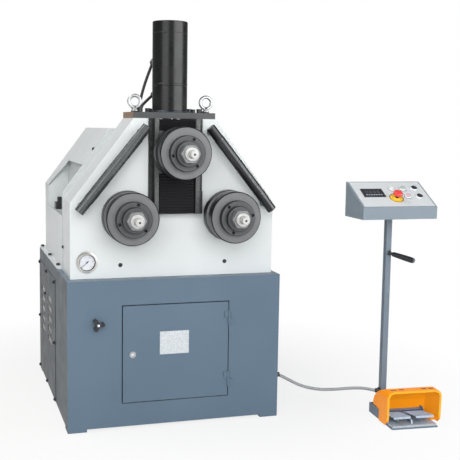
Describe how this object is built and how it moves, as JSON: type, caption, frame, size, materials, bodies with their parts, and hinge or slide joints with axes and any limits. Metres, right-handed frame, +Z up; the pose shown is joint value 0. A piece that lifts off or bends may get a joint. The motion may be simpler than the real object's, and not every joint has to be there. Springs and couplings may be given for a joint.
{
  "type": "hydraulic ring roller",
  "caption": "Floor-standing hydraulic three-roll ring bender: cabinet, sloped head, roll sets on long shafts, vertical cylinder, and a pedestal console with a foot switch.",
  "frame": {"origin": "on the floor, under the centre of the cabinet and of its four foot bolts", "axes": "+Z up; -Y towards the operator and out along the roll shafts; +X to the operator's right, towards the console"},
  "size_m": [1.5433, 1.3842, 1.669],
  "materials": {
    "paint_blue_grey": "satin",
    "paint_white": "satin",
    "paint_black": "gloss",
    "paint_dark": "satin",
    "steel_bright": "machined",
    "steel_dark": "blackened",
    "cast_iron": "painted",
    "zinc": "zinc plated",
    "chrome": "hard chrome",
    "aluminium": "cast",
    "rubber": "matt",
    "plastic_black": "matt",
    "plastic_grey": "matt",
    "plastic_orange": "gloss",
    "plastic_white": "gloss",
    "plastic_green": "gloss",
    "plastic_red": "gloss",
    "panel_grey": "satin"
  },
  "bodies": {
    "frame": {"cabinet_front": "paint_blue_grey", "cabinet_shell": "paint_blue_grey", "foot_pads": "paint_dark", "vent_cover": "paint_blue_grey", "hinge_lower_halves": "steel_bright", "cable_glands": "plastic_black", "hydraulic_fittings": "zinc", "cylinder_hoses": "rubber", "head_front_plate": "paint_white", "head_frame": "paint_white", "head_bolts": "steel_dark", "side_cover_left": "paint_white", "rear_covers": "paint_white", "inner_frame": "paint_white", "slide_ways": "paint_dark", "top_plate": "paint_dark", "lifting_eyes": "zinc", "hydraulic_cylinder": "paint_black", "guide_bars": "paint_dark", "gauge_case": "zinc", "shaft_bearings": "paint_dark", "position_switches": "plastic_black", "drive_motor": "paint_dark", "power_pack": "paint_dark", "electrical_plate": "plastic_grey", "console_stand": "paint_blue_grey", "console_box": "paint_blue_grey", "console_panel": "panel_grey", "switch_base": "aluminium", "switch_hood": "plastic_orange", "pedal_springs": "zinc", "conduit": "plastic_grey", "lower_bellows": "rubber", "upper_bellows": "rubber"},
    "ram": {"slide_block": "cast_iron", "piston_rod": "chrome", "top_motor": "paint_dark"},
    "top_roll": {"shaft_top": "steel_bright", "rolls_top": "steel_dark"},
    "left_roll": {"shaft_left": "steel_bright", "rolls_left": "steel_dark", "gear_left": "steel_bright"},
    "right_roll": {"shaft_right": "steel_bright", "rolls_right": "steel_dark", "gear_right": "steel_bright"},
    "pinion": {"drive_pinion": "steel_bright"},
    "door": {"door": "paint_blue_grey"},
    "door_lock": {"door_lock_cam": "steel_bright"},
    "valve_knob": {"valve_knob": "plastic_black"},
    "gauge_needle": {"gauge_needle": "steel_dark"},
    "button_white": {"button_white": "plastic_white"},
    "button_green": {"button_green": "plastic_green"},
    "button_red": {"button_red": "plastic_red"},
    "estop_stem": {"estop_stem": "plastic_black"},
    "estop_cap": {"estop_cap": "plastic_red"},
    "selector_upper": {"selector_upper": "plastic_black"},
    "selector_lower": {"selector_lower": "plastic_black"},
    "pedal_left": {"pedal_left": "aluminium"},
    "pedal_right": {"pedal_right": "aluminium"},
    "handle_grip": {"handle_grip": "plastic_black"}
  },
  "joints": [
    {"name": "ram_slide", "type": "slide", "parent": "frame", "child": "ram", "axis": [0, 0, -1], "range_m": [0, 0.11], "deforming": ["lower_bellows", "upper_bellows"]},
    {"name": "left_roll_spin", "type": "hinge", "parent": "frame", "child": "left_roll", "pos_m": [-0.21, -0.5, 0.88], "axis": [0, 1, 0], "continuous": true},
    {"name": "right_roll_spin", "type": "hinge", "parent": "frame", "child": "right_roll", "pos_m": [0.21, -0.5, 0.88], "axis": [0, 1, 0], "continuous": true},
    {"name": "top_roll_spin", "type": "hinge", "parent": "ram", "child": "top_roll", "pos_m": [0, -0.5, 1.136], "axis": [0, 1, 0], "continuous": true},
    {"name": "pinion_spin", "type": "hinge", "parent": "frame", "child": "pinion", "pos_m": [0, -0.2, 0.79922], "axis": [0, 1, 0], "continuous": true},
    {"name": "door_hinge", "type": "hinge", "parent": "frame", "child": "door", "pos_m": [0.224, -0.527, 0.312], "axis": [0, 0, 1], "range_deg": [0, 110]},
    {"name": "door_lock_turn", "type": "hinge", "parent": "door", "child": "door_lock", "pos_m": [-0.186, -0.52, 0.312], "axis": [0, -1, 0], "range_deg": [0, 90]},
    {"name": "valve_knob_turn", "type": "hinge", "parent": "frame", "child": "valve_knob", "pos_m": [-0.33, -0.53, 0.447], "axis": [0, -1, 0], "range_deg": [0, 1080]},
    {"name": "gauge_needle_turn", "type": "hinge", "parent": "frame", "child": "gauge_needle", "pos_m": [-0.363, -0.47, 0.69], "axis": [0, 1, 0], "range_deg": [0, 270], "stiffness_Nm_per_rad": 0.02},
    {"name": "button_white_press", "type": "slide", "parent": "frame", "child": "button_white", "axis": [0, 0.4945, -0.8692], "range_m": [0, 0.004], "stiffness_N_per_m": 400},
    {"name": "button_green_press", "type": "slide", "parent": "frame", "child": "button_green", "axis": [0, 0.4945, -0.8692], "range_m": [0, 0.004], "stiffness_N_per_m": 400},
    {"name": "button_red_press", "type": "slide", "parent": "frame", "child": "button_red", "axis": [0, 0.4945, -0.8692], "range_m": [0, 0.004], "stiffness_N_per_m": 400},
    {"name": "estop_press", "type": "slide", "parent": "frame", "child": "estop_stem", "axis": [0, 0.4945, -0.8692], "range_m": [0, 0.005]},
    {"name": "estop_twist", "type": "hinge", "parent": "estop_stem", "child": "estop_cap", "pos_m": [0.905, -0.67937, 0.95365], "axis": [0, 0.4945, -0.8692], "range_deg": [0, 45], "stiffness_Nm_per_rad": 0.2},
    {"name": "selector_upper_turn", "type": "hinge", "parent": "frame", "child": "selector_upper", "pos_m": [1.019, -0.61766, 0.98875], "axis": [0, 0.4945, -0.8692], "range_deg": [-45, 45]},
    {"name": "selector_lower_turn", "type": "hinge", "parent": "frame", "child": "selector_lower", "pos_m": [1.018, -0.67068, 0.95859], "axis": [0, 0.4945, -0.8692], "range_deg": [-45, 45]},
    {"name": "pedal_left_press", "type": "hinge", "parent": "frame", "child": "pedal_left", "pos_m": [0.91027, -0.67443, 0.0215], "axis": [0.9969, -0.0785, 0], "range_deg": [0, 7], "stiffness_Nm_per_rad": 20, "springref_deg": -2.86, "deforming": ["pedal_springs"]},
    {"name": "pedal_right_press", "type": "hinge", "parent": "frame", "child": "pedal_right", "pos_m": [1.01196, -0.68243, 0.0215], "axis": [0.9969, -0.0785, 0], "range_deg": [0, 7], "stiffness_Nm_per_rad": 20, "springref_deg": -2.86, "deforming": ["pedal_springs"]},
    {"name": "handle_spin", "type": "hinge", "parent": "frame", "child": "handle_grip", "pos_m": [0.913, -0.6125, 0.714], "axis": [0.7398, -0.626, -0.2466], "continuous": true}
  ],
  "couplings": [
    {"joint": "right_roll_spin", "follows": "left_roll_spin", "ratio": 1},
    {"joint": "top_roll_spin", "follows": "left_roll_spin", "ratio": -1},
    {"joint": "pinion_spin", "follows": "left_roll_spin", "ratio": -1.1429}
  ]
}
